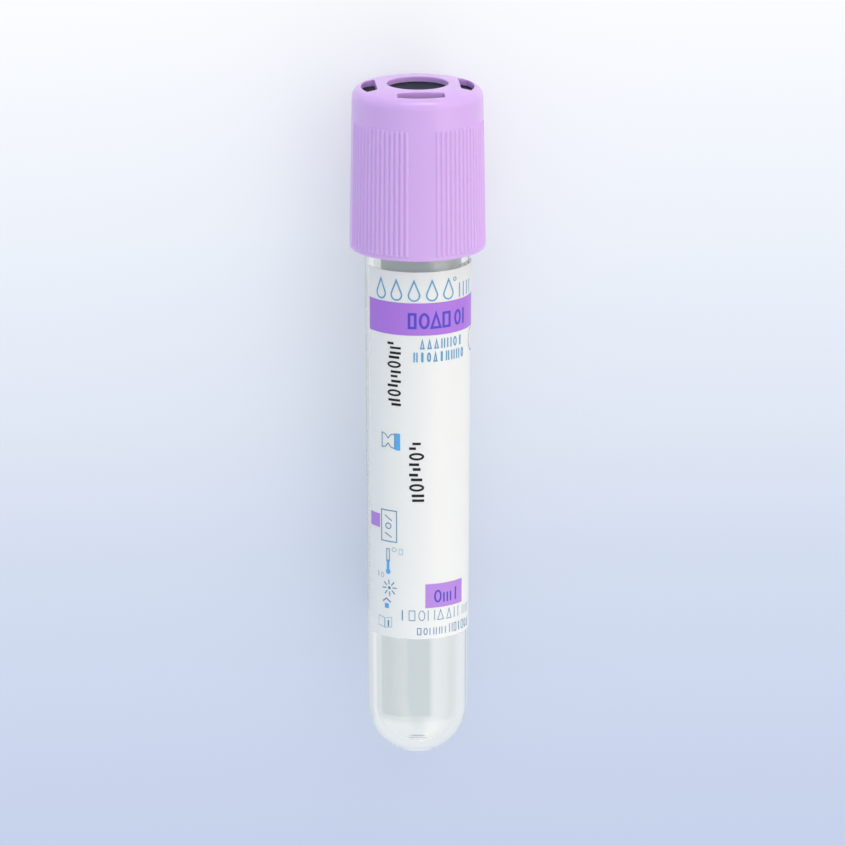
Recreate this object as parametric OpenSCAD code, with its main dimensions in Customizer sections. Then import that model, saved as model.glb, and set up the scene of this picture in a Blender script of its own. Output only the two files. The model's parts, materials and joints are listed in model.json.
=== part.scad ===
// Evacuated blood collection tube, 13 x 75 mm: a clear moulded tube, a rubber stopper, a ribbed
// safety cap that carries the stopper by its head, and a film label wrapped round the tube.
//
// Each piece is drawn upright on its own axis: z = 0 is the flat of the tube's closed end, and the
// cap is at the top. lying() then lays it down on the floor, where the tube rests on its round end
// and on the mouth of the cap, so that its axis runs towards +Y and climbs a little to the cap.

/* [Tube] */
// Length of the tube, from the flat of its closed end to its rim
tube_length = 75; // [60:0.5:125]
// Outside diameter at the rim
tube_rim_d = 12.9; // [10.5:0.1:16.5]
// Draft of the sides, in degrees, from the round end to the rim
tube_draft = 0.35; // [0.2:0.01:0.5]
// Wall thickness
tube_wall = 1; // [0.7:0.05:1.4]
// Depth of the small flat at the closed end, round the moulding gate
gate_flat = 0.31; // [0.15:0.01:0.6]
// Radius of the gate's dimple in that flat, as a share of the flat's radius
gate_share = 0.62; // [0.4:0.01:0.8]
// Depth of the gate's dimple
gate_dimple = 0.1; // [0.05:0.05:0.2]
// Radius of the rounding on both edges of the rim
rim_round = 0.3; // [0.1:0.05:0.35]

/* [Stopper] */
// How far the plug reaches into the tube
plug_length = 12; // [8:0.5:16]
// Radius of the rounding at the plug's lower edge
plug_round = 0.5; // [0.3:0.1:0.8]
// Height of the sealing rings over the plug's body
ring_height = 0.22; // [0.1:0.02:0.3]
// Length of each sealing ring along the plug
ring_length = 2; // [1:0.1:2.6]
// Radius of the hollow in the plug's end
hollow_r = 2.8; // [1.5:0.1:3.2]
// Depth of that hollow, which thins the rubber that a needle goes through
hollow_depth = 3.6; // [1:0.1:3.8]
// Depth of the dish in the top of the head
dish_depth = 0.15; // [0.1:0.05:0.4]
// How far the collar over the tube's rim stands out past the rim
collar_lap = 0.1; // [0:0.05:0.1]
// Height of that collar
collar_height = 2.5; // [1.5:0.1:4]
// Height of the groove between the collar and the head, which the lugs reach into
groove_height = 1.65; // [1.4:0.05:3]

/* [Cap] */
// How far the skirt reaches below the tube's rim
skirt_lap = 11.9; // [8:0.1:15]
// Gap between the tube's rim and the skirt's inside, at the skirt's mouth
skirt_gap = 0.77; // [0.5:0.01:1.5]
// Wall of the skirt at its mouth
skirt_wall = 0.95; // [0.7:0.05:1.3]
// Slope of the skirt's outside, in degrees
outer_draft = 0.9; // [0.3:0.1:2]
// Slope of the skirt's inside, in degrees
inner_draft = 0.6; // [0.2:0.1:1]
// Radius of the rounding at the skirt's mouth
mouth_round = 0.25; // [0.1:0.05:0.4]
// Thickness of the deck
deck_thick = 0.7; // [0.6:0.05:1.2]
// Radius of the crown, from the land outwards
crown_r = 8.5; // [7:0.5:20]
// Radius of the shoulder between the crown and the skirt
shoulder_r = 1.3; // [0.6:0.1:1.6]
// Diameter of the needle hole
hole_d = 7.35; // [5:0.05:9]
// Width of the flat land round the needle hole
land_w = 0.525; // [0.3:0.005:0.9]
// Radius of the rounding on the needle hole's edge
hole_round = 0.15; // [0.05:0.05:0.3]

/* [Cap windows and lugs] */
// Number of windows in the deck, each over one lug
windows = 4; // [3:1:4]
// Width of the deck's web between the needle hole and a window's straight inner side, as a share
// of the deck's width from the hole to the windows' outer side
web_share = 0.42; // [0.3:0.01:0.55]
// Length of a window, as a share of the chord that its inner side could take
window_share = 0.66; // [0.4:0.01:0.8]
// How far the windows' outer side lies in from the chamber's wall
window_inset = 0.2; // [0.05:0.05:0.3]
// Radius of a window's inner corners
window_round = 0.3; // [0.1:0.05:0.6]
// How far a lug stands in from the skirt's inside
lug_reach = 0.75; // [0.4:0.05:0.9]
// Depth of the lugs' top face below the top of the cap
lug_depth = 4; // [3.2:0.1:6]
// Thickness of a lug at its tip
lug_tip = 0.6; // [0.4:0.1:1]

/* [Cap ribs] */
// Ribs in each group, between two smooth stretches
ribs = 15; // [5:1:15]
// Angle from one rib to the next
rib_pitch = 4.5; // [4.5:0.1:5]
// Gap between neighbouring ribs at their tops
rib_gap = 0.14; // [0.05:0.01:0.3]
// Height of a rib
rib_h = 0.13; // [0.08:0.01:0.2]
// Depth of the ribs' rounded tops below the top of the cap
rib_top_depth = 4.15; // [3:0.05:8]
// Height of the plain band under the ribs, at the skirt's mouth
mouth_band = 0.5; // [0.4:0.1:3]
// Number of guide ribs inside the skirt
guides = 8; // [4:1:12]
// Width of a guide rib
guide_w = 0.8; // [0.5:0.1:1.2]
// Height of the guide ribs' feet above the skirt's mouth
guide_foot = 0.75; // [0.5:0.05:3]

/* [Label] */
// Bare length of tube below the label, from the closed end
label_foot = 15.6; // [10:0.1:30]
// Bare length of tube between the label and the cap's mouth
label_gap = 1.7; // [0.5:0.1:10]
// How far the label goes round the tube, in degrees
label_wrap = 300; // [120:5:340]
// Where the label starts, in degrees from the top of the lying tube
label_start = -68; // [-180:1:180]
// Thickness of the film
label_thick = 0.08; // [0.06:0.01:0.15]

/* [Clearances] */
// Between the sealing rings and the tube's bore
plug_clearance = 0.05; // [0.02:0.01:0.08]
// Between the collar and the tube's rim
seat_clearance = 0.05; // [0.03:0.01:0.1]
// Between the stopper's head and the cap that holds it
head_clearance = 0.06; // [0.04:0.01:0.1]
// Between the guide ribs and the tube's rim
guide_clearance = 0.2; // [0.15:0.01:0.3]
// Between the tube and the label, for the adhesive
label_clearance = 0.02; // [0.02:0.01:0.05]

/* [Hidden] */
$fn = 96;
over = 1;            // how far a cutting shape runs past what it cuts
arc_steps = 10;      // straight pieces that stand for a rounding
shell_steps = 28;    // straight pieces that stand for the tube's round end
rib_sides = 24;      // sides of a grip rib's round bar
ring_places = [0.3, 0.65];   // the sealing rings' middles, as shares of the plug's length

// The tube's outline: a sphere at the closed end, and sides that are tangent to it and widen to
// the rim.
rim_r = tube_rim_d / 2;
end_r = (rim_r * cos(tube_draft) - (tube_length + gate_flat) * sin(tube_draft)) / (1 - sin(tube_draft));
end_z = end_r - gate_flat;
gate_r = sqrt(end_r * end_r - end_z * end_z);
gate_dimple_r = gate_r * gate_share;
function tube_r(z) = rim_r - (tube_length - z) * tan(tube_draft);
function bore_r(z) = tube_r(z) - tube_wall / cos(tube_draft);

// The cap's levels and radii. Its height follows from what stands on the tube's rim: the collar,
// the groove and the head.
mouth_z = tube_length - skirt_lap;
lug_z = tube_length + seat_clearance + collar_height + groove_height;
top_z = lug_z + lug_depth;
hole_r = hole_d / 2;
land_r = hole_r + land_w;
mouth_in_r = rim_r + skirt_gap;
mouth_r = mouth_in_r + skirt_wall;
function skirt_r(z) = mouth_r - (z - mouth_z) * tan(outer_draft);
function skirt_in_r(z) = mouth_in_r - (z - mouth_z) * tan(inner_draft);
function crown_drop(r) = r < land_r ? 0 : crown_r - sqrt(crown_r * crown_r - pow(r - land_r, 2));
chamber_r = skirt_in_r(top_z - deck_thick);
eaves_z = top_z - deck_thick - crown_drop(chamber_r);
lug_in_r = skirt_in_r(lug_z) - lug_reach;
window_out_r = chamber_r - window_inset;
window_in = hole_r + (window_out_r - hole_r) * web_share;
window_half = window_share * sqrt(pow(window_out_r, 2) - pow(window_in + window_round, 2));
lug_arc = 2 * asin(window_half / window_out_r);
guide_in_r = rim_r + guide_clearance;

// The shoulder is tangent to the crown inside and to the skirt outside.
crown_z = top_z - crown_r;
shoulder_k = mouth_r - land_r - shoulder_r / cos(outer_draft) - (crown_z - mouth_z) * tan(outer_draft);
shoulder_up = (shoulder_k * tan(outer_draft) + sqrt(pow(crown_r - shoulder_r, 2)
    * (1 + pow(tan(outer_draft), 2)) - shoulder_k * shoulder_k)) / (1 + pow(tan(outer_draft), 2));
shoulder_c = [land_r + shoulder_k - shoulder_up * tan(outer_draft), crown_z + shoulder_up];
crown_end = atan2(shoulder_up, shoulder_c[0] - land_r);

// A rib is a round bar, sunk in the skirt's surface until rib_w of it shows.
rib_w = 2 * skirt_r(top_z - rib_top_depth) * sin(rib_pitch / 2) - rib_gap;
rib_r = (rib_w * rib_w / 4 + rib_h * rib_h) / (2 * rib_h);
rib_sink = rib_r - rib_h;

// How it lies: the axis climbs by rest_tilt, and the box round the whole is centred on Y.
lip_c = [skirt_r(mouth_z + mouth_round) - mouth_round / cos(outer_draft), mouth_z + mouth_round];
lip_far = sqrt(pow(lip_c[0], 2) + pow(lip_c[1] - end_z, 2));
rest_tilt = acos((end_r - mouth_round) / lip_far) - atan2(lip_c[1] - end_z, lip_c[0]);
rest_z = end_r - end_z * sin(rest_tilt);
low_y = -gate_r * sin(rest_tilt);
high_y = land_r * sin(rest_tilt) + crown_z * cos(rest_tilt) + crown_r;
rest_y = -(low_y + high_y) / 2;

// Points along an arc about c, from angle a0 to angle a1.
function arc(c, r, a0, a1, steps) =
    [for (i = [0:steps]) let (a = a0 + (a1 - a0) * i / steps) [c[0] + r * cos(a), c[1] + r * sin(a)]];

// Points of one sealing ring, from its upper edge to its lower one: it swells from the plug's body
// to within plug_clearance of the bore.
ring_arc_r = (pow(ring_length / 2, 2) + ring_height * ring_height) / (2 * ring_height);
ring_half = asin(ring_length / 2 / ring_arc_r);
function ring_points(z) =
    arc([bore_r(z) - plug_clearance - ring_arc_r, z], ring_arc_r, ring_half, -ring_half, 8);

module lying() {
    translate([0, rest_y, rest_z]) rotate([rest_tilt - 90, 0, 0]) children();
}

// The tube: one moulding of even wall, open at the rim, with the gate's shallow dimple under it.
module tube() {
    in_end_r = end_r - tube_wall;
    rim_out_c = [rim_r - rim_round, tube_length - rim_round];
    rim_in_c = [bore_r(tube_length) + rim_round, tube_length - rim_round];
    outline = concat(
        [[0, gate_dimple], [gate_dimple_r, gate_dimple], [gate_dimple_r, 0]],
        arc([0, end_z], end_r, -acos(gate_r / end_r), -tube_draft, shell_steps),
        arc(rim_out_c, rim_round, 0, 90, 5),
        arc(rim_in_c, rim_round, 90, 180, 5),
        arc([0, end_z], in_end_r, -tube_draft, -90, shell_steps)
    );
    color([0.86, 0.9, 0.94, 0.35]) lying() rotate_extrude() polygon(outline);
}

// The stopper: a head that the lugs hold by its groove, a collar on the rim, and a ringed plug.
module stopper() {
    head_z = top_z - deck_thick - head_clearance;
    head_r = chamber_r - head_clearance;
    head_edge_z = eaves_z - head_clearance;
    groove_r = lug_in_r - head_clearance;
    seat_z = tube_length + seat_clearance;
    collar_z = seat_z + collar_height;
    collar_r = rim_r + collar_lap;
    plug_z = tube_length - plug_length;
    dish_r = hole_r - hole_round;
    dish_arc_r = (dish_r * dish_r + dish_depth * dish_depth) / (2 * dish_depth);
    neck_r = bore_r(tube_length) - plug_clearance - ring_height;
    end_edge_r = bore_r(plug_z) - plug_clearance - ring_height;
    outline = concat(
        arc([0, head_z - dish_depth + dish_arc_r], dish_arc_r, -90, -90 + asin(dish_r / dish_arc_r), 6),
        [[land_r, head_z], [head_r, head_edge_z], [head_r, lug_z + head_clearance],
            [groove_r, lug_z + head_clearance], [groove_r, collar_z], [collar_r, collar_z],
            [collar_r, seat_z], [neck_r, seat_z]],
        [for (share = ring_places) each ring_points(tube_length - plug_length * share)],
        arc([end_edge_r - plug_round, plug_z + plug_round], plug_round, 0, -90, 5),
        [[hollow_r, plug_z]],
        arc([0, plug_z + hollow_depth - hollow_r], hollow_r, 0, 90, 10)
    );
    color([0.2, 0.22, 0.26]) lying() rotate_extrude() polygon(outline);
}

// The cap's shell: deck, crown, shoulder, skirt and mouth in one outline.
module cap_shell() {
    in_z = top_z - deck_thick;
    outline = concat(
        [[hole_r, in_z]],
        arc([hole_r + hole_round, top_z - hole_round], hole_round, 180, 90, 4),
        arc([land_r, crown_z], crown_r, 90, crown_end, 12),
        arc(shoulder_c, shoulder_r, crown_end, outer_draft, arc_steps),
        arc(lip_c, mouth_round, 0, -90, 5),
        [[mouth_in_r + mouth_round, mouth_z], [mouth_in_r, mouth_z + mouth_round],
            [chamber_r, eaves_z], [land_r, in_z]]
    );
    rotate_extrude() polygon(outline);
}

// One window through the deck: straight inside and at its ends, arched outside, with round inner
// corners.
module window_cut() {
    depth = deck_thick + crown_drop(window_out_r) + 2 * over;
    corner = [window_in + window_round, window_half - window_round];
    outline = concat(
        arc([corner[0], -corner[1]], window_round, 180, 270, 3),
        arc([0, 0], window_out_r, -lug_arc / 2, lug_arc / 2, 6),
        arc(corner, window_round, 90, 180, 3)
    );
    translate([0, 0, top_z + over - depth]) linear_extrude(depth) polygon(outline);
}

// One lug under its window, flat on top to hold the head and sloped below to let it snap in.
module lug() {
    root_r = skirt_in_r(lug_z) + skirt_wall / 2;
    slope = root_r - lug_in_r;
    rotate([0, 0, -lug_arc / 2]) rotate_extrude(angle = lug_arc) polygon([
        [lug_in_r, lug_z], [lug_in_r, lug_z - lug_tip], [root_r, lug_z - lug_tip - slope], [root_r, lug_z]
    ]);
}

// One grip rib: a round bar with a domed top, leaning with the skirt.
module grip_rib() {
    foot_z = mouth_z + mouth_band;
    length = (top_z - rib_top_depth - foot_z) / cos(outer_draft);
    outline = concat(
        [[0, 0], [rib_r - rib_sink, 0], [rib_r, rib_sink]],
        arc([0, length - rib_r], rib_r, 0, 90, 2)
    );
    translate([skirt_r(foot_z) - rib_sink / cos(outer_draft), 0, foot_z])
        rotate([0, -outer_draft, 0]) rotate_extrude($fn = rib_sides) polygon(outline);
}

// One guide rib inside the skirt, which centres the mouth on the tube.
module guide_rib() {
    foot_z = mouth_z + guide_foot;
    height = lug_z - lug_tip - lug_reach - skirt_wall - foot_z;
    translate([guide_in_r, -guide_w / 2, foot_z])
        cube([mouth_in_r + skirt_wall / 2 - guide_in_r, guide_w, height]);
}

module cap() {
    color([0.8, 0.67, 0.9]) lying() union() {
        difference() {
            cap_shell();
            for (i = [0:windows - 1]) rotate([0, 0, i * 360 / windows - 90]) window_cut();
        }
        for (i = [0:windows - 1]) rotate([0, 0, i * 360 / windows - 90]) {
            lug();
            for (j = [0:ribs - 1])
                rotate([0, 0, 180 / windows + (j - (ribs - 1) / 2) * rib_pitch]) grip_rib();
        }
        for (i = [0:guides - 1]) rotate([0, 0, (i + 0.5) * 360 / guides - 90]) guide_rib();
    }
}

// The label: a thin film on the drafted side of the tube.
module label() {
    top = mouth_z - label_gap;
    low_r = tube_r(label_foot) + label_clearance;
    high_r = tube_r(top) + label_clearance;
    color([0.94, 0.95, 0.95]) lying() rotate([0, 0, label_start - 90])
        rotate_extrude(angle = label_wrap) polygon([
            [low_r, label_foot], [low_r + label_thick, label_foot],
            [high_r + label_thick, top], [high_r, top]
        ]);
}

tube();
stopper();
cap();
label();
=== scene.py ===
import json
import math
import random

import bmesh
import bpy
from mathutils import Matrix, Vector


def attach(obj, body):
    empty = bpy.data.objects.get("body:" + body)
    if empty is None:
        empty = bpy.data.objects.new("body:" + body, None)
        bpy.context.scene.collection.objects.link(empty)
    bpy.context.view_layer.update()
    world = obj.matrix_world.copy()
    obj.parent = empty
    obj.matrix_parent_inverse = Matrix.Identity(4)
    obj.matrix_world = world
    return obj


# Looks of the evacuated blood collection tube that the frame holds: a clear polyester tube, a dark
# rubber stopper, a lavender safety cap and a printed white label. The CAD nodes keep their shapes.
# What is added is the print on the label, the floor and the light.
#
# Lengths are in metres unless a comment says otherwise. A place on the tube is given by an angle
# about its axis, from the line that faces up and turning towards +X, and by its height: how far it
# is along the axis from the closed end.

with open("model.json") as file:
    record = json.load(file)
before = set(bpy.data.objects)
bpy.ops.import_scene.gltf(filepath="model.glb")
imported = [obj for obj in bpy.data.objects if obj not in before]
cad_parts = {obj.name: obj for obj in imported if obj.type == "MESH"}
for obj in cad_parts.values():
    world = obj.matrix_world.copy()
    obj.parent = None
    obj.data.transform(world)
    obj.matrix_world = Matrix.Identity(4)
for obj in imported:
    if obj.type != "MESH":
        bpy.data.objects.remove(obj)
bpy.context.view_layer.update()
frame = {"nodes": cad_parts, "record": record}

MM = 0.001
MOUNTS = {mount["name"]: mount for mount in frame["record"]["mounts"]}
AXIS = Vector(MOUNTS["needle_access"]["axis"]).normalized()
ON_AXIS = Vector(MOUNTS["needle_access"]["pos_m"])
SIDE = Vector((1, 0, 0))
FRONT = SIDE.cross(AXIS).normalized()


def reach(node):
    """Lowest and highest height of a CAD node along the axis, from ON_AXIS."""
    heights = [(v.co - ON_AXIS).dot(AXIS) for v in frame["nodes"][node].data.vertices]
    return min(heights), max(heights)


FOOT = ON_AXIS + AXIS * reach("tube")[0]


def round_point(angle, radius, height):
    """The point at an angle in radians, a distance from the axis and a height on the tube."""
    out = FRONT * math.cos(angle) + SIDE * math.sin(angle)
    return FOOT + AXIS * height + out * radius


def outer_radius(node, height, within):
    """Largest distance from the axis of a CAD node's points that lie near a height."""
    best = 0.0
    for v in frame["nodes"][node].data.vertices:
        along = (v.co - FOOT).dot(AXIS)
        if abs(along - height) < within:
            best = max(best, (v.co - FOOT - AXIS * along).length)
    return best


# --- Camera -------------------------------------------------------------------------------------
# The tube lies on the floor, so the camera looks down on it, from the cap's side of square-on.
# VIEW_RISE and VIEW_TURN are angles from the plane square to the tube's axis and from the line
# that faces up. The camera aims at a height on the tube, a little aside of its axis.

CAMERA_FAR = 0.951
CAMERA_LENS = 335.0
CAMERA_CLIP = (0.05, 20.0)
VIEW_RISE = math.radians(15.2)
VIEW_TURN = math.radians(-4.2)
AIM_HEIGHT = 41.1 * MM
AIM_ASIDE = 0.59 * MM


def add_camera():
    """A camera with a long lens, at the photo's angle."""
    back = (
        FRONT * math.cos(VIEW_RISE) * math.cos(VIEW_TURN)
        + SIDE * math.cos(VIEW_RISE) * math.sin(VIEW_TURN)
        + AXIS * math.sin(VIEW_RISE)
    )
    right = AXIS.cross(back).normalized()
    up = back.cross(right)
    data = bpy.data.cameras.new("camera")
    data.lens = CAMERA_LENS
    data.clip_start, data.clip_end = CAMERA_CLIP
    camera = bpy.data.objects.new("camera", data)
    bpy.context.scene.collection.objects.link(camera)
    turn = Matrix((right, up, back)).transposed().to_4x4()
    place = FOOT + AXIS * AIM_HEIGHT + right * AIM_ASIDE + back * CAMERA_FAR
    camera.matrix_world = Matrix.Translation(place) @ turn
    bpy.context.scene.camera = camera


add_camera()


# --- Materials ----------------------------------------------------------------------------------


def linear(hex_colour):
    """A colour written as six hex digits, as the linear numbers that a shader takes."""
    parts = [int(hex_colour[i:i + 2], 16) / 255 for i in (0, 2, 4)]
    return [p / 12.92 if p <= 0.04045 else ((p + 0.055) / 1.055) ** 2.4 for p in parts] + [1.0]


class Graph:
    """A node tree, with short calls that add to it."""

    def __init__(self, owner):
        owner.use_nodes = True
        self.tree = owner.node_tree

    def node(self, kind, **inputs):
        """Adds a shader node, with values for its inputs. Returns the node."""
        made = self.tree.nodes.new("ShaderNode" + kind)
        for socket, value in inputs.items():
            made.inputs[socket.replace("_", " ")].default_value = value
        return made

    def link(self, source, target):
        self.tree.links.new(source, target)

    def math(self, operation, *values):
        """One step of arithmetic on outputs or numbers. Returns its output."""
        made = self.node("Math")
        made.operation = operation
        for socket, value in zip(made.inputs, values):
            if isinstance(value, (int, float)):
                socket.default_value = value
            else:
                self.link(value, socket)
        return made.outputs[0]

    def dot(self, vector, direction):
        """How far a vector output reaches along a direction. Returns the output."""
        made = self.node("VectorMath")
        made.operation = "DOT_PRODUCT"
        self.link(vector, made.inputs[0])
        made.inputs[1].default_value = direction
        return made.outputs["Value"]

    def ramp(self, value, stops):
        """Colours along a 0 to 1 value. Returns the output."""
        made = self.node("ValToRGB")
        while len(made.color_ramp.elements) < len(stops):
            made.color_ramp.elements.new(0.5)
        for element, (place, colour) in zip(made.color_ramp.elements, stops):
            element.position = place
            element.color = linear(colour)
        self.link(value, made.inputs[0])
        return made.outputs[0]

    def spread(self, value, low, high, smooth=False):
        """A value mapped so that low gives 0 and high gives 1. Returns the output."""
        made = self.node("MapRange", From_Min=low, From_Max=high)
        if smooth:
            made.interpolation_type = "SMOOTHSTEP"
        self.link(value, made.inputs["Value"])
        return made.outputs[0]

    def band(self, value, low, high, soft):
        """1 between two values and 0 outside them, with soft edges. Returns the output."""
        rising = self.spread(value, low - soft, low, smooth=True)
        falling = self.spread(value, high + soft, high, smooth=True)
        return self.math("MULTIPLY", rising, falling)


class Material(Graph):
    """A node material with one Principled shader, and short calls that add to it."""

    def __init__(self, name, colour, roughness, **sockets):
        self.data = bpy.data.materials.new(name)
        super().__init__(self.data)
        self.shader = self.tree.nodes["Principled BSDF"]
        self.output = self.tree.nodes["Material Output"]
        self.shader.inputs["Base Color"].default_value = linear(colour)
        self.shader.inputs["Roughness"].default_value = roughness
        for socket, value in sockets.items():
            self.shader.inputs[socket.replace("_", " ")].default_value = value

    def blend(self, share, first, second):
        """Mixes two shaders into the material's output. Returns the mix."""
        made = self.node("MixShader")
        if isinstance(share, float):
            made.inputs[0].default_value = share
        else:
            self.link(share, made.inputs[0])
        self.link(first, made.inputs[1])
        self.link(second, made.inputs[2])
        self.link(made.outputs[0], self.output.inputs["Surface"])
        return made.outputs[0]

    def noise(self, scale, detail=2.0):
        """Noise over the object's own coordinates, in steps per metre. Returns its output."""
        made = self.node("TexNoise", Scale=scale, Detail=detail)
        self.link(self.node("TexCoord").outputs["Object"], made.inputs["Vector"])
        return made.outputs["Fac"]

    def along(self, origin, direction):
        """Distance of the surface from a point, measured along a direction. Returns its output."""
        place = self.node("VectorMath")
        place.operation = "SUBTRACT"
        self.link(self.node("TexCoord").outputs["Object"], place.inputs[0])
        place.inputs[1].default_value = origin
        return self.dot(place.outputs[0], direction)

    def vary_roughness(self, value, low, high):
        """Gives the shader a roughness between two values, where a 0 to 1 output says."""
        spread = self.node("MapRange", To_Min=low, To_Max=high)
        self.link(value, spread.inputs["Value"])
        self.link(spread.outputs[0], self.shader.inputs["Roughness"])

    def vary_colour(self, value, dark, light):
        """Gives the shader a colour between two, where a 0 to 1 output says."""
        blend = self.tree.nodes.new("ShaderNodeMix")
        blend.data_type = "RGBA"
        blend.inputs[6].default_value = linear(dark)
        blend.inputs[7].default_value = linear(light)
        self.link(value, blend.inputs[0])
        self.link(blend.outputs[2], self.shader.inputs["Base Color"])

    def bump(self, value, distance, strength=1.0):
        """Raises and sinks the surface where a 0 to 1 output says."""
        made = self.node("Bump", Strength=strength, Distance=distance)
        self.link(value, made.inputs["Height"])
        self.link(made.outputs[0], self.shader.inputs["Normal"])


# The gate's frosted spot fades between these two heights, and adds this much roughness.
FROST_FROM, FROST_TO = 0.1 * MM, 0.25 * MM
FROST = 0.12


def clear_polyester():
    """Clear moulded polyester, a little frosted at the gate. Light on its way to other things
    passes straight through it, and so does a ray that has been reflected in its wall more than
    once."""
    made = Material("clear_polyester", "FCFDFD", 0.02, IOR=1.57, Transmission_Weight=1.0)
    even = made.node("MapRange", To_Min=0.01, To_Max=0.04)
    made.link(made.noise(900.0), even.inputs["Value"])
    frosted = made.spread(made.along(FOOT, AXIS), FROST_TO, FROST_FROM, smooth=True)
    frost = made.math("MULTIPLY", frosted, FROST)
    made.link(made.math("ADD", even.outputs[0], frost), made.shader.inputs["Roughness"])
    clear = made.node("BsdfTransparent", Color=linear("F9FBFB"))
    path = made.node("LightPath")
    lost = made.math("GREATER_THAN", path.outputs["Glossy Depth"], 1.5)
    inner = made.blend(lost, made.shader.outputs[0], clear.outputs[0])
    plain = made.blend(path.outputs["Is Diffuse Ray"], inner, clear.outputs[0])
    made.blend(path.outputs["Is Shadow Ray"], plain, clear.outputs[0])
    return made.data


def butyl_rubber():
    """Dark blue-black rubber with a fine grain."""
    made = Material("butyl_rubber", "1C2530", 0.5, Specular_IOR_Level=0.1)
    grain = made.noise(2500.0, detail=4.0)
    made.vary_colour(grain, "18212B", "202934")
    made.vary_roughness(grain, 0.45, 0.65)
    made.bump(grain, 0.02 * MM, strength=0.6)
    return made.data


def lavender_plastic():
    """Lavender polyethylene, with some light under its skin and a thin gloss."""
    made = Material(
        "lavender_plastic", "C19DD4", 0.35, Specular_IOR_Level=0.1,
        Coat_Weight=0.4, Coat_Roughness=0.14, Coat_IOR=2.0,
        Subsurface_Weight=0.45, Subsurface_Radius=(1.0, 0.7, 1.2), Subsurface_Scale=1.0 * MM)
    cloud = made.noise(350.0)
    made.vary_colour(cloud, "C09BD3", "C29ED5")
    grain = made.noise(6000.0)
    made.vary_roughness(grain, 0.31, 0.39)
    made.bump(grain, 0.001 * MM)
    return made.data


# Share of the film's light that passes to its other side.
FILM_THROUGH = 0.42


def label_film():
    """White film, thin enough for some light to reach the inside of the tube."""
    made = Material(
        "label_film", "F8F7F6", 0.38, Diffuse_Roughness=1.0,
        Coat_Weight=1.0, Coat_Roughness=0.3, Coat_IOR=1.6)
    fibre = made.noise(1800.0, detail=3.0)
    made.vary_colour(fibre, "F7F6F5", "F9F8F7")
    made.vary_roughness(fibre, 0.34, 0.44)
    made.bump(fibre, 0.002 * MM)
    through = made.node("BsdfTranslucent", Color=linear("F8F8F6"))
    made.blend(FILM_THROUGH, made.shader.outputs[0], through.outputs[0])
    return made.data


def ink(name, dark, light):
    """Printed ink, which lies a little unevenly on the film."""
    made = Material(name, light, 0.42, Specular_IOR_Level=0.3)
    cover = made.noise(2600.0, detail=3.0)
    made.vary_colour(cover, dark, light)
    made.vary_roughness(cover, 0.36, 0.48)
    return made.data


INKS = {
    "lavender": ink("ink_lavender", "9C68C5", "A26FCC"),
    "lilac": ink("ink_lilac", "A57AC9", "AB81CF"),
    "violet": ink("ink_violet", "423BB0", "4B44B5"),
    "blue": ink("ink_blue", "4A94CF", "5BA6DC"),
    "steel": ink("ink_steel_blue", "4787B0", "5796BE"),
    "dull": ink("ink_dull_blue", "3F7199", "5083AA"),
    "faint": ink("ink_faint_blue", "A3BCC9", "B0C6D1"),
    "black": ink("ink_black", "08090B", "121316"),
}


def dress(node, material):
    """Gives a CAD node its material."""
    thing = frame["nodes"][node]
    thing.data.materials.clear()
    thing.data.materials.append(material)


dress("tube", clear_polyester())
dress("stopper", butyl_rubber())
dress("cap", lavender_plastic())
dress("label", label_film())


# --- Print on the label -------------------------------------------------------------------------
# Each mark is a thin solid that follows the label round. Its outline is given in a flat plane, in
# millimetres: u runs round the label from the line that faces up, v is the height on the tube.
# What the label says is left out. Plain shapes of the same size and weight stand in its place.

# Ink starts a little under the film's face, and stands this high over it. Violet is printed over
# the other inks, so it stands higher.
INK_SINK = 0.004 * MM
INK_THICK = 0.012 * MM
INK_THICK_OVER = 0.02 * MM
# A mark has a new pair of corners at least this often, so that it follows the round label.
TURN_STEP = math.radians(2.5)
# A mitre grows to the stroke's half width over this, and no further.
MITRE_LIMIT = 0.35
# The film's points this near to one of its ends give its radius there.
NEAR_END = 0.1 * MM
# Points nearer to each other than this, in millimetres, are one point.
SAME = 1e-9
LABEL_LOW, LABEL_HIGH = (h - reach("tube")[0] for h in reach("label"))
LABEL_R_LOW = outer_radius("label", LABEL_LOW, NEAR_END)
LABEL_R_HIGH = outer_radius("label", LABEL_HIGH, NEAR_END)
LABEL_MID_R = (LABEL_R_LOW + LABEL_R_HIGH) / 2
# The printed area's ends, in degrees round the tube: half a degree inside the film's.
PRINT_LEFT = -67.5
PRINT_RIGHT = 231.5


def label_radius(height):
    """The film's outer radius at a height on the tube."""
    share = (height - LABEL_LOW) / (LABEL_HIGH - LABEL_LOW)
    return LABEL_R_LOW + (LABEL_R_HIGH - LABEL_R_LOW) * share


def turned(degrees):
    """Distance round the label, in millimetres, of an angle from the line that faces up."""
    return math.radians(degrees) * LABEL_MID_R / MM


def field(left, right, low, high):
    """Middle and size, in millimetres, of the space between two angles and two heights."""
    return (turned(left + right) / 2, (low + high) / 2, turned(right - left), high - low)


def turn_steps(distance):
    """How many steps a distance round the label, in millimetres, is split into."""
    return max(1, math.ceil(distance * MM / LABEL_MID_R / TURN_STEP))


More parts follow.
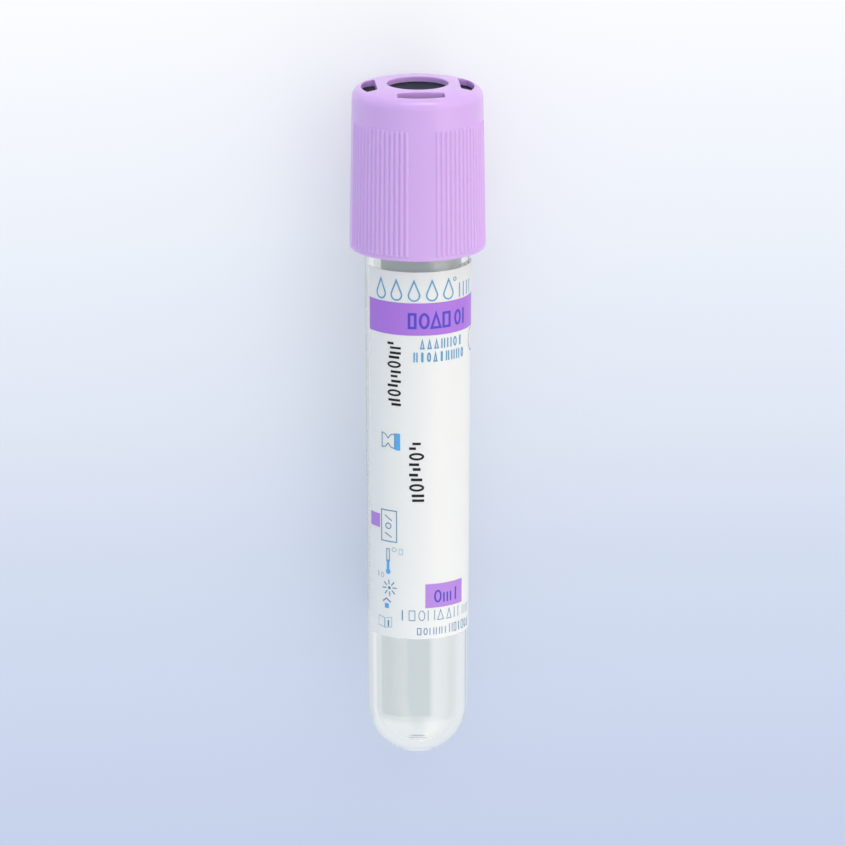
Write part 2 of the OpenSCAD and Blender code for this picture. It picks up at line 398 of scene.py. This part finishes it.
class Print:
    """Gathers the marks of one ink, and makes one piece of them. Each mark is a run: a list of
    pairs of points across it, from one end to the other."""

    def __init__(self, thick):
        self.thick = thick
        self.runs = []

    def quad(self, corners):
        """Four corners (u, v) in order: the first two on one side, the last two on the other."""
        a, b, c, d = [Vector(p) for p in corners]
        steps = turn_steps(max(abs(p.x - q.x) for p in (a, b) for q in (c, d)))
        self.runs.append([(a.lerp(d, i / steps), b.lerp(c, i / steps)) for i in range(steps + 1)])

    def bar(self, u, v, width, height):
        """An upright rectangle about its middle."""
        left, right, low, high = u - width / 2, u + width / 2, v - height / 2, v + height / 2
        self.quad([(left, low), (left, high), (right, high), (right, low)])

    def line(self, points, width, closed=False):
        """A stroke of even width along points, mitred where it turns."""
        points = [Vector(p) for p in points]
        count = len(points)
        sides = []
        for i, here in enumerate(points):
            before = points[i - 1] if i or closed else None
            after = points[(i + 1) % count] if i < count - 1 or closed else None
            ways = []
            if before is not None:
                ways.append((here - before).normalized())
            if after is not None:
                ways.append((after - here).normalized())
            normals = [Vector((-w.y, w.x)) for w in ways]
            normal = sum(normals, Vector((0, 0))).normalized()
            half = width / 2 / max(MITRE_LIMIT, normal.dot(normals[0]))
            sides.append((here - normal * half, here + normal * half))
        if closed:
            sides.append(sides[0])
        run = [sides[0]]
        for old, new in zip(sides, sides[1:]):
            steps = turn_steps(abs(new[0].x - old[0].x))
            for i in range(1, steps + 1):
                run.append((old[0].lerp(new[0], i / steps), old[1].lerp(new[1], i / steps)))
        self.runs.append(run)

    def frame(self, u, v, width, height, stroke):
        """An outlined rectangle about its middle."""
        x, y = (width - stroke) / 2, (height - stroke) / 2
        self.line([(u - x, v - y), (u - x, v + y), (u + x, v + y), (u + x, v - y)], stroke, True)

    def ring(self, u, v, width, height, stroke, steps=24):
        """An outlined oval about its middle."""
        x, y = (width - stroke) / 2, (height - stroke) / 2
        turns = [2 * math.pi * i / steps for i in range(steps)]
        self.line([(u + x * math.cos(t), v + y * math.sin(t)) for t in turns], stroke, True)

    def peak(self, u, v, width, height, stroke):
        """An outlined triangle, point up, about the middle of its box."""
        x, y = (width - stroke) / 2, (height - stroke) / 2
        self.line([(u - x, v - y), (u, v + y), (u + x, v - y)], stroke, True)

    def drop(self, u, v, width, height, stroke, steps=14):
        """An outlined drop, point up, about its middle."""
        radius = (width - stroke) / 2
        middle = v - height / 2 + stroke / 2 + radius
        tip = v + height / 2 - stroke
        open_half = math.acos(radius / (tip - middle))
        points = [(u, tip)]
        for i in range(steps + 1):
            t = math.pi / 2 - open_half - (2 * math.pi - 2 * open_half) * i / steps
            points.append((u + radius * math.cos(t), middle + radius * math.sin(t)))
        self.line(points, stroke, True)

    def disc(self, u, v, radius, steps=8):
        """A filled round. Its two ends are cut off a little, so that they keep some width."""
        cut = 0.03
        run = []
        for i in range(steps + 1):
            t = math.pi * (cut + (1 - 2 * cut) * i / steps)
            x, y = radius * math.cos(t), radius * math.sin(t)
            run.append((Vector((u - x, v - y)), Vector((u - x, v + y))))
        self.runs.append(run)

    def row(self, left, right, low, high, count, stroke, seed):
        """A line of plain shapes, as many and as heavy as the characters of a line of text."""
        u, v, width, height = field(left, right, low, high)
        pick = random.Random(seed)
        step = width / count
        for i in range(count):
            here = u - width / 2 + step * (i + 0.5)
            box = (here, v, step * pick.uniform(0.6, 0.76), height)
            shape = pick.choice(["bars", "ring", "frame", "bars", "peak", "bar"])
            if shape == "bars":
                for side in (-1, 1):
                    self.bar(here + side * (box[2] - stroke) / 2, v, stroke, height)
            elif shape == "bar":
                self.bar(here, v, stroke * 1.6, height)
            else:
                getattr(self, shape)(*box, stroke)

    def stamp(self, left, right, low, high, count, seed):
        """A column of heavy plain shapes, laid across the tube's length. Every third one is a ring,
        and each of the others is two short strokes."""
        u, v, width, height = field(left, right, low, high)
        pick = random.Random(seed)
        step = height / count
        for i in range(count):
            here = v - height / 2 + step * (i + 0.5)
            if i % 3 == 1:
                self.ring(u, here, width, step * 0.72, step * 0.2)
                continue
            for side in (-1, 1):
                size = width * pick.uniform(0.45, 1.0)
                shift = pick.choice([-0.5, 0, 0.5]) * (width - size)
                thick = step * pick.uniform(0.22, 0.27)
                self.bar(u + shift, here + side * step * 0.23, size, thick)

    def build(self, name, material):
        """Makes a closed mesh of each run, and one piece of them all."""
        mesh = bmesh.new()

        def corner(point, lift):
            height = point[1] * MM
            angle = point[0] * MM / LABEL_MID_R
            return mesh.verts.new(round_point(angle, label_radius(height) + lift, height))

        for run in self.runs:
            looped = (run[0][0] - run[-1][0]).length < SAME
            rows = []
            for p, q in run[:-1] if looped else run:
                rows.append([corner(p, -INK_SINK), corner(q, -INK_SINK),
                             corner(q, self.thick), corner(p, self.thick)])
            if looped:
                rows.append(rows[0])
            for old, new in zip(rows, rows[1:]):
                for i in range(4):
                    j = (i + 1) % 4
                    mesh.faces.new((old[i], old[j], new[j], new[i]))
            if not looped:
                mesh.faces.new(rows[0])
                mesh.faces.new(rows[-1][::-1])
        bmesh.ops.recalc_face_normals(mesh, faces=mesh.faces)
        data = bpy.data.meshes.new(name)
        mesh.to_mesh(data)
        mesh.free()
        data.materials.append(material)
        thing = bpy.data.objects.new(name, data)
        bpy.context.scene.collection.objects.link(thing)
        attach(thing, "vessel")


# Places in the functions below are angles for turned() and field(), in degrees, and heights on the
# tube, in millimetres. Sizes and strokes are in millimetres.


def print_head(inks):
    """Drops in the name's place, the lavender band with violet shapes on it, two rows of shapes
    below it, and the edge of a round outline at the right."""
    steel, violet = inks["steel"], inks["violet"]
    for i in range(5):
        steel.drop(turned(-47 + 19.5 * i), 59.15, 1.5, 2.7, 0.175)
    steel.ring(turned(39.5), 60.2, 0.55, 0.5, 0.1)
    for i in range(4):
        steel.bar(turned(47 + 7 * i), 58.7, 0.18, 1.8)
    inks["lavender"].bar(*field(PRINT_LEFT, PRINT_RIGHT, 53.6, 57.6))
    v = 55.4
    violet.frame(turned(-10), v, 1.05, 2.0, 0.31)
    violet.ring(turned(3), v, 1.3, 2.0, 0.31)
    violet.peak(turned(16), v, 1.4, 2.0, 0.29)
    violet.frame(turned(28.5), v, 1.15, 2.0, 0.31)
    violet.ring(turned(44), v, 1.15, 1.95, 0.31)
    violet.bar(turned(53.5), v, 0.34, 1.95)
    steel.row(-3, 52, 51.9, 53.1, 7, 0.165, 3)
    steel.row(-10, 55.5, 50.3, 51.5, 9, 0.175, 8)
    inks["dull"].ring(turned(81.6), 52.0, 3.3, 3.3, 0.1, steps=40)


def print_stamps(inks):
    """Two columns of black shapes, where two lines are stamped across the label."""
    inks["black"].stamp(-38.5, -22.5, 44.6, 52.8, 7, 11)
    inks["black"].stamp(-13.5, 3, 32.7, 40.5, 6, 5)


def print_glass(inks):
    """An hourglass that lies on its side, with its sand."""
    left, right, low, high = turned(-46.5), turned(-30), 39.4, 41.2
    waist = (low + high) / 2
    middle = (left + right) / 2
    inks["dull"].line([
        (left, low), (left, high), (left + 0.5, high - 0.1), (middle, waist + 0.3),
        (right - 0.5, high - 0.1), (right, high), (right, low), (right - 0.5, low + 0.1),
        (middle, waist - 0.3), (left + 0.5, low + 0.1)], 0.11, True)
    inks["blue"].bar(*field(-29.5, -23.5, 39.2, 41.3))


def print_box(inks):
    """An upright box with three plain marks in it, and a lilac field beside it."""
    dull = inks["dull"]
    inks["lilac"].bar(*field(PRINT_LEFT, -50.5, 29.2, 30.9))
    dull.frame(*field(-48.5, -27.5, 27.6, 31.6), 0.115)
    dull.line([(turned(-43), 30.9), (turned(-34), 30.3)], 0.12)
    dull.ring(turned(-38.5), 29.6, 0.9, 0.8, 0.12)
    dull.line([(turned(-43), 28.7), (turned(-34), 28.2)], 0.12)


def print_thermometer(inks):
    """A thermometer, with small faint shapes where its two ends are marked."""
    left, right = turned(-40.8), turned(-37.2)
    inks["dull"].line([(left, 25.1), (left, 26.7), (right, 26.7), (right, 25.1)], 0.1)
    inks["blue"].bar(turned(-39), 24.6, 0.38, 1.5)
    inks["blue"].disc(turned(-39), 23.85, 0.34)
    inks["faint"].ring(turned(-31), 26.7, 0.7, 0.6, 0.1)
    inks["faint"].frame(turned(-23), 26.5, 0.55, 0.75, 0.1)
    inks["faint"].bar(turned(-53), 23.4, 0.16, 0.7)
    inks["faint"].ring(turned(-47), 23.3, 0.5, 0.7, 0.1)


def print_sun(inks):
    """A sun with eight rays, over a roof with a small square under it."""
    dull = inks["dull"]
    u, v = turned(-37.5), 21.8
    for i in range(8):
        t = math.radians(45 * i + 4)
        dull.line([(u + r * math.cos(t), v + r * math.sin(t)) for r in (0.45, 1.05)], 0.125)
    dull.disc(u, v, 0.2)
    dull.line([(turned(-46.5), 20.0), (turned(-41.5), 20.45), (turned(-35.5), 20.0)], 0.15)
    inks["blue"].bar(turned(-41), 19.5, 0.6, 0.6)


def print_pages(inks):
    """An open booklet."""
    left, middle, right = turned(-53), turned(-44), turned(-34.5)
    inks["faint"].line([
        (left, 18.1), (middle, 17.9), (right, 18.1),
        (right, 16.9), (middle, 16.7), (left, 16.9)], 0.1, True)
    inks["dull"].line([(middle, 17.9), (middle, 16.7)], 0.1)
    inks["dull"].bar(turned(-39), 17.3, 0.2, 0.8)


def print_hidden_side(inks):
    """A pale box to write in, on the side that the photo doesn't show: a guess."""
    faint = inks["faint"]
    u, v, width, height = field(112, 200, 22.5, 50.5)
    columns = 5
    faint.frame(u, v, width, height, 0.12)
    for i in range(1, columns):
        faint.bar(u - width / 2 + width * i / columns, v, 0.1, height - 2.0)


def print_foot(inks):
    """The lilac field with violet shapes on it, and two rows of shapes below it."""
    inks["lilac"].bar(*field(4.5, 54.5, 19.5, 22.5))
    violet = inks["violet"]
    violet.ring(turned(19), 20.9, 1.0, 1.6, 0.22)
    for i in range(3):
        violet.bar(turned(26.5 + 4.5 * i), 20.7, 0.22, 1.2)
    violet.bar(turned(43), 20.9, 0.24, 1.6)
    inks["dull"].row(-27, 50, 17.9, 19.2, 7, 0.085, 21)
    inks["faint"].row(54, 71, 17.9, 19.0, 3, 0.1, 4)
    inks["dull"].row(-6, 30, 16.1, 17.0, 5, 0.1, 9)
    inks["dull"].row(33, 72, 16.1, 17.2, 6, 0.095, 2)


prints = {name: Print(INK_THICK_OVER if name == "violet" else INK_THICK) for name in INKS}
print_head(prints)
print_stamps(prints)
print_glass(prints)
print_box(prints)
print_thermometer(prints)
print_sun(prints)
print_pages(prints)
print_hidden_side(prints)
print_foot(prints)
for name, marks in prints.items():
    marks.build("print_" + name, INKS[name])


# --- Floor and light ----------------------------------------------------------------------------

FLOOR_HALF = 2.5
# The floor's colours along the tube, from FLOOR_FADE before its middle to FLOOR_FADE past it.
FLOOR_FADE = 55 * MM
FLOOR_COLOURS = [
    (0.0, "C7D1EA"), (0.33, "D5DDEF"), (0.5, "E2E8F4"), (0.68, "EDF1F9"), (1.0, "FEFEFF")]
# Where the camera or a reflection sees it, GLOW_SHARE of it is plain emission of strength GLOW.
GLOW_SHARE = 0.6
GLOW = 0.83
# Painted shade and light for a ray seen through the clear tube: darkest, as a painted shadow, on
# the line that lies PAINTED_SHADE_ASIDE beside the tube's middle, and lighter, as painted light, to
# PAINTED_SHADE_HALF on both sides of it.
PAINTED_SHADE_ASIDE = -1.6 * MM
PAINTED_SHADE_HALF = 12 * MM
PAINTED_SHADE_COLOURS = [
    (0.0, "C5CDD0"), (0.31, "C5CDD0"), (0.37, "DBE0E2"), (0.62, "DDE2E4"), (0.88, "F0F3F5")]
# Past the closed end they fade to the last one, between these two places along the floor.
PAINTED_SHADE_END, PAINTED_SHADE_PAST_END = -38 * MM, -42 * MM


def add_floor():
    """A pale floor, near white past the cap and soft blue past the closed end. For a ray that has
    come through the clear tube and met nothing matt, it is a plain emitted light grey with painted
    shade and light: a painted shadow right under the tube, and lighter to the sides."""
    data = bpy.data.meshes.new("floor")
    s = FLOOR_HALF
    data.from_pydata([(-s, -s, 0), (s, -s, 0), (s, s, 0), (-s, s, 0)], [], [(0, 1, 2, 3)])
    floor = bpy.data.objects.new("floor", data)
    bpy.context.scene.collection.objects.link(floor)
    made = Material("floor", "DCE3F3", 0.9, Specular_IOR_Level=0.0)
    where = made.node("NewGeometry")
    split = made.node("SeparateXYZ")
    made.link(where.outputs["Position"], split.inputs[0])
    x, y = split.outputs["X"], split.outputs["Y"]
    colour = made.ramp(made.spread(y, -FLOOR_FADE, FLOOR_FADE), FLOOR_COLOURS)
    made.link(colour, made.shader.inputs["Base Color"])
    glow = made.node("Emission", Strength=GLOW)
    made.link(colour, glow.inputs["Color"])
    path = made.node("LightPath")
    seen = made.math("MAXIMUM", path.outputs["Is Camera Ray"], path.outputs["Is Glossy Ray"])
    share = made.math("MULTIPLY", seen, GLOW_SHARE)
    plain = made.blend(share, made.shader.outputs[0], glow.outputs[0])
    # Painted shade: the colour seen through the clear tube is emitted, darker near the tube's
    # middle.
    aside = made.math("ABSOLUTE", made.math("ADD", x, -PAINTED_SHADE_ASIDE))
    beside = made.spread(aside, 0, PAINTED_SHADE_HALF)
    past_end = made.spread(y, PAINTED_SHADE_END, PAINTED_SHADE_PAST_END, smooth=True)
    under = made.ramp(made.math("MAXIMUM", beside, past_end), PAINTED_SHADE_COLOURS)
    through = made.node("Emission")
    made.link(under, through.inputs["Color"])
    # Only a ray through the clear tube that has met nothing matt sees this painted shade and light.
    passed = made.math("GREATER_THAN", path.outputs["Transmission Depth"], 0.5)
    direct = made.math("LESS_THAN", path.outputs["Diffuse Depth"], 0.5)
    made.blend(made.math("MULTIPLY", passed, direct), plain, through.outputs[0])
    data.materials.append(made.data)


# The tent's colours round the tube: angles about its axis, in degrees, from the line that faces up
# and between -TENT_HALF and TENT_HALF.
TENT_HALF = 100
TENT = [
    (-95, "A3A9B2"), (-40, "B0B6BC"), (0, "BFC5C9"), (22, "C3C9CD"),
    (29, "F9F4EE"), (46, "F5F0EA"), (75, "C8C5C2"), (95, "A7A9AB")]
# Its brightness, and the share of it that is added straight past the cap's end and taken off
# straight past the closed end.
TENT_LEVEL = 2.02
TENT_RISE = 0.14
# The strip light: its brightness, how far round it reaches to each side, and how far towards the
# cap's end it lies (1 is straight along the axis). Then the widths of its soft edges.
STRIP = 8.0
STRIP_HALF = math.radians(60)
STRIP_LOW, STRIP_HIGH = 0.88, 0.92
STRIP_SOFT_ROUND = math.radians(8)
STRIP_SOFT_ALONG = 0.01


def add_world():
    """A white light tent. It is brighter towards the cap's end, a warm soft box lies along the
    right side of the tube, and a narrow strip light crosses above the cap's end."""
    world = bpy.data.worlds.new("world")
    made = Graph(world)
    back = made.tree.nodes["Background"]
    look = made.node("TexCoord").outputs["Generated"]
    angle = made.math("ARCTAN2", made.dot(look, SIDE), made.dot(look, FRONT))
    share = made.spread(angle, math.radians(-TENT_HALF), math.radians(TENT_HALF))
    stops = [(degrees / (2 * TENT_HALF) + 0.5, colour) for degrees, colour in TENT]
    made.link(made.ramp(share, stops), back.inputs["Color"])
    climb = made.dot(look, AXIS)
    rise = made.math("MULTIPLY_ADD", climb, TENT_RISE, 1.0)
    level = made.math("MULTIPLY", rise, TENT_LEVEL)
    across = made.band(angle, -STRIP_HALF, STRIP_HALF, STRIP_SOFT_ROUND)
    along = made.band(climb, STRIP_LOW, STRIP_HIGH, STRIP_SOFT_ALONG)
    strip = made.math("MULTIPLY", made.math("MULTIPLY", along, across), STRIP)
    made.link(made.math("ADD", level, strip), back.inputs["Strength"])
    bpy.context.scene.world = world


add_floor()
add_world()
bpy.context.scene.view_settings.view_transform = "Standard"
